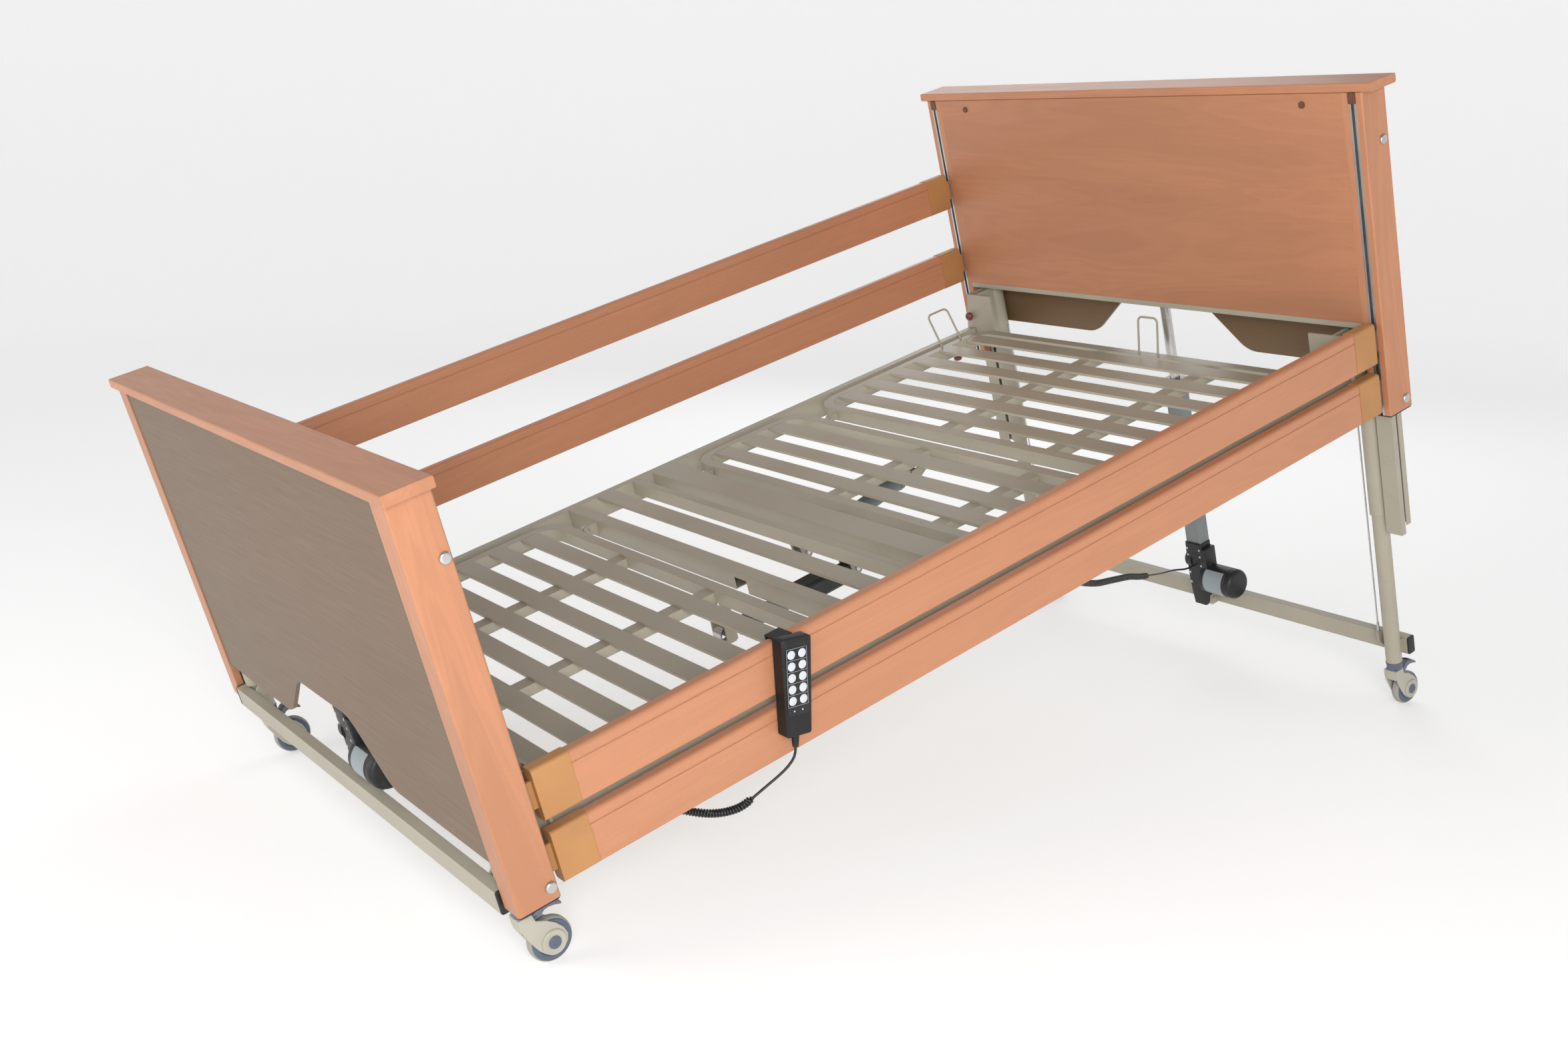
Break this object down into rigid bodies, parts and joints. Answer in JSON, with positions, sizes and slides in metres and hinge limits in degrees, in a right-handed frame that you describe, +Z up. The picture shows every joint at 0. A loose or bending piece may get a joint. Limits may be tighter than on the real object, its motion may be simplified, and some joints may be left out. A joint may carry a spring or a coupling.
{
  "type": "adjustable hospital bed",
  "caption": "Hospital bed with wooden end panels and sliding side rails, hinged mattress base, telescopic lifts and braked castors, shown tipped head-down.",
  "frame": {"origin": "centre of the bounding box on the floor, without the cords", "axes": "+X to the patient's right, +Y to the foot end, +Z up"},
  "size_m": [1.333, 2.4978, 1.3751],
  "materials": {
    "beech_board": "satin",
    "ochre_plastic": "satin",
    "brown_plastic": "matte",
    "aluminium_channel": "satin",
    "grey_extrusion": "satin",
    "bright_steel": "polished",
    "beige_paint": "satin",
    "red_brown_plastic": "satin",
    "black_plastic": "matte",
    "handset_plastic": "satin",
    "keypad_film": "satin",
    "cord_sheath": "matte",
    "castor_plastic": "satin",
    "castor_wheel": "matte",
    "pedal_plastic": "satin"
  },
  "bodies": {
    "root": {"top_boards": "beech_board", "posts": "beech_board", "outer_sheets": "beech_board", "inner_sheets": "beech_board", "guide_channels": "aluminium_channel", "post_plugs": "brown_plastic", "post_bolts": "bright_steel", "sheet_edge_bars": "beige_paint", "corner_brackets": "beige_paint", "clamp_screws": "red_brown_plastic", "base_side_tubes": "beige_paint", "base_cross_members": "beige_paint", "section_pivot_bolts": "bright_steel", "control_box": "black_plastic", "handset_cord": "cord_sheath", "handset_coil": "cord_sheath", "foot_motor_cord": "cord_sheath", "foot_motor_coil": "cord_sheath"},
    "head_mid": {"head_mid_stage": "beige_paint", "head_lift_rod": "bright_steel"},
    "head_legs": {"head_leg_frame": "beige_paint", "head_lift_motor": "black_plastic", "head_lift_profile": "grey_extrusion", "head_sync_cables": "bright_steel"},
    "castor_head_right": {"castor_head_right_fork": "castor_plastic"},
    "castor_head_right_roller": {"castor_head_right_wheel": "castor_wheel"},
    "castor_head_right_brake": {"castor_head_right_pedal": "pedal_plastic"},
    "castor_head_left": {"castor_head_left_fork": "castor_plastic"},
    "castor_head_left_roller": {"castor_head_left_wheel": "castor_wheel"},
    "castor_head_left_brake": {"castor_head_left_pedal": "pedal_plastic"},
    "foot_mid": {"foot_mid_stage": "beige_paint", "foot_lift_rod": "bright_steel"},
    "foot_legs": {"foot_leg_frame": "beige_paint", "foot_lift_motor": "black_plastic", "foot_lift_profile": "grey_extrusion", "foot_sync_cables": "bright_steel"},
    "castor_foot_right": {"castor_foot_right_fork": "castor_plastic"},
    "castor_foot_right_roller": {"castor_foot_right_wheel": "castor_wheel"},
    "castor_foot_right_brake": {"castor_foot_right_pedal": "pedal_plastic"},
    "castor_foot_left": {"castor_foot_left_fork": "castor_plastic"},
    "castor_foot_left_roller": {"castor_foot_left_wheel": "castor_wheel"},
    "castor_foot_left_brake": {"castor_foot_left_pedal": "pedal_plastic"},
    "backrest": {"backrest_section": "beige_paint"},
    "thigh": {"thigh_section": "beige_paint"},
    "calf": {"calf_section": "beige_paint", "mattress_retainers": "beige_paint"},
    "rail_left_upper": {"rail_left_upper": "beech_board", "rail_left_upper_caps": "ochre_plastic"},
    "rail_left_lower": {"rail_left_lower": "beech_board", "rail_left_lower_caps": "ochre_plastic"},
    "rail_right_upper": {"rail_right_upper": "beech_board", "rail_right_upper_caps": "ochre_plastic", "handset": "handset_plastic", "handset_keypad": "keypad_film"},
    "rail_right_lower": {"rail_right_lower": "beech_board", "rail_right_lower_caps": "ochre_plastic"},
    "back_actuator": {"back_actuator_body": "black_plastic"},
    "back_actuator_rod": {"back_actuator_rod": "bright_steel"},
    "leg_actuator": {"leg_actuator_body": "black_plastic"},
    "leg_actuator_rod": {"leg_actuator_rod": "bright_steel"}
  },
  "joints": [
    {"name": "head_lift_stage_1", "type": "slide", "parent": "root", "child": "head_mid", "axis": [0, 0.2708, -0.9626], "range_m": [0, 0.295]},
    {"name": "head_lift_stage_2", "type": "slide", "parent": "head_mid", "child": "head_legs", "axis": [0, 0.2708, -0.9626], "range_m": [0, 0.295]},
    {"name": "castor_head_right_swivel", "type": "hinge", "parent": "head_legs", "child": "castor_head_right", "pos_m": [0.565, -1.01088, 0.09008], "axis": [0, -0.2708, 0.9626], "continuous": true},
    {"name": "castor_head_right_roll", "type": "hinge", "parent": "castor_head_right", "child": "castor_head_right_roller", "pos_m": [0.565, -0.967, 0.0375], "axis": [1, 0, 0], "continuous": true},
    {"name": "castor_head_right_brake_press", "type": "hinge", "parent": "castor_head_right", "child": "castor_head_right_brake", "pos_m": [0.565, -0.99565, 0.08397], "axis": [1, 0, 0], "range_deg": [-12, 0]},
    {"name": "castor_head_left_swivel", "type": "hinge", "parent": "head_legs", "child": "castor_head_left", "pos_m": [-0.565, -1.01088, 0.09008], "axis": [0, -0.2708, 0.9626], "continuous": true},
    {"name": "castor_head_left_roll", "type": "hinge", "parent": "castor_head_left", "child": "castor_head_left_roller", "pos_m": [-0.565, -0.967, 0.0375], "axis": [1, 0, 0], "continuous": true},
    {"name": "castor_head_left_brake_press", "type": "hinge", "parent": "castor_head_left", "child": "castor_head_left_brake", "pos_m": [-0.565, -0.99565, 0.08397], "axis": [1, 0, 0], "range_deg": [-12, 0]},
    {"name": "foot_lift_stage_1", "type": "slide", "parent": "root", "child": "foot_mid", "axis": [0, 0.2708, -0.9626], "range_m": [-0.295, 0]},
    {"name": "foot_lift_stage_2", "type": "slide", "parent": "foot_mid", "child": "foot_legs", "axis": [0, 0.2708, -0.9626], "range_m": [-0.295, 0]},
    {"name": "castor_foot_right_swivel", "type": "hinge", "parent": "foot_legs", "child": "castor_foot_right", "pos_m": [0.565, 1.16754, 0.09008], "axis": [0, -0.2708, 0.9626], "continuous": true},
    {"name": "castor_foot_right_roll", "type": "hinge", "parent": "castor_foot_right", "child": "castor_foot_right_roller", "pos_m": [0.565, 1.21142, 0.0375], "axis": [1, 0, 0], "continuous": true},
    {"name": "castor_foot_right_brake_press", "type": "hinge", "parent": "castor_foot_right", "child": "castor_foot_right_brake", "pos_m": [0.565, 1.18276, 0.08397], "axis": [1, 0, 0], "range_deg": [-12, 0]},
    {"name": "castor_foot_left_swivel", "type": "hinge", "parent": "foot_legs", "child": "castor_foot_left", "pos_m": [-0.565, 1.16754, 0.09008], "axis": [0, -0.2708, 0.9626], "continuous": true},
    {"name": "castor_foot_left_roll", "type": "hinge", "parent": "castor_foot_left", "child": "castor_foot_left_roller", "pos_m": [-0.565, 1.21142, 0.0375], "axis": [1, 0, 0], "continuous": true},
    {"name": "castor_foot_left_brake_press", "type": "hinge", "parent": "castor_foot_left", "child": "castor_foot_left_brake", "pos_m": [-0.565, 1.18276, 0.08397], "axis": [1, 0, 0], "range_deg": [-12, 0]},
    {"name": "backrest_tilt", "type": "hinge", "parent": "root", "child": "backrest", "pos_m": [0, -0.33013, 0.40835], "axis": [-1, 0, 0], "range_deg": [0, 70]},
    {"name": "thigh_tilt", "type": "hinge", "parent": "root", "child": "thigh", "pos_m": [0, -0.01343, 0.49745], "axis": [1, 0, 0], "range_deg": [0, 35]},
    {"name": "calf_tilt", "type": "hinge", "parent": "thigh", "child": "calf", "pos_m": [0, 0.32926, 0.59387], "axis": [1, 0, 0], "range_deg": [-43.8, 0]},
    {"name": "rail_left_upper_slide", "type": "slide", "parent": "root", "child": "rail_left_upper", "axis": [0, -0.2708, 0.9626], "range_m": [-0.281, 0]},
    {"name": "rail_left_lower_slide", "type": "slide", "parent": "root", "child": "rail_left_lower", "axis": [0, -0.2708, 0.9626], "range_m": [-0.196, 0]},
    {"name": "rail_right_upper_slide", "type": "slide", "parent": "root", "child": "rail_right_upper", "axis": [0, -0.2708, 0.9626], "range_m": [0, 0.281]},
    {"name": "rail_right_lower_slide", "type": "slide", "parent": "root", "child": "rail_right_lower", "axis": [0, -0.2708, 0.9626], "range_m": [0, 0.196]},
    {"name": "back_actuator_swing", "type": "hinge", "parent": "root", "child": "back_actuator", "pos_m": [0.116, -0.03496, 0.40413], "axis": [-1, 0, 0], "range_deg": [0, 13.5]},
    {"name": "back_actuator_extend", "type": "slide", "parent": "back_actuator", "child": "back_actuator_rod", "axis": [0, -0.9592, -0.2828], "range_m": [0, 0.077]},
    {"name": "leg_actuator_swing", "type": "hinge", "parent": "root", "child": "leg_actuator", "pos_m": [-0.052, -0.03496, 0.40413], "axis": [1, 0, 0], "range_deg": [0, 27.5]},
    {"name": "leg_actuator_extend", "type": "slide", "parent": "leg_actuator", "child": "leg_actuator_rod", "axis": [0, 0.9081, 0.4188], "range_m": [0, 0.0385]}
  ],
  "couplings": [
    {"joint": "head_lift_stage_2", "follows": "head_lift_stage_1", "ratio": 1},
    {"joint": "foot_lift_stage_2", "follows": "foot_lift_stage_1", "ratio": 1},
    {"joint": "calf_tilt", "follows": "thigh_tilt", "ratio": -1.25},
    {"joint": "rail_left_lower_slide", "follows": "rail_left_upper_slide", "ratio": 0.6975},
    {"joint": "rail_right_lower_slide", "follows": "rail_right_upper_slide", "ratio": 0.6975},
    {"joint": "back_actuator_swing", "follows": "backrest_tilt", "ratio": 0.1907},
    {"joint": "back_actuator_extend", "follows": "backrest_tilt", "m_per_rad": 0.06258},
    {"joint": "leg_actuator_swing", "follows": "thigh_tilt", "ratio": 0.7844},
    {"joint": "leg_actuator_extend", "follows": "thigh_tilt", "m_per_rad": 0.06218}
  ]
}
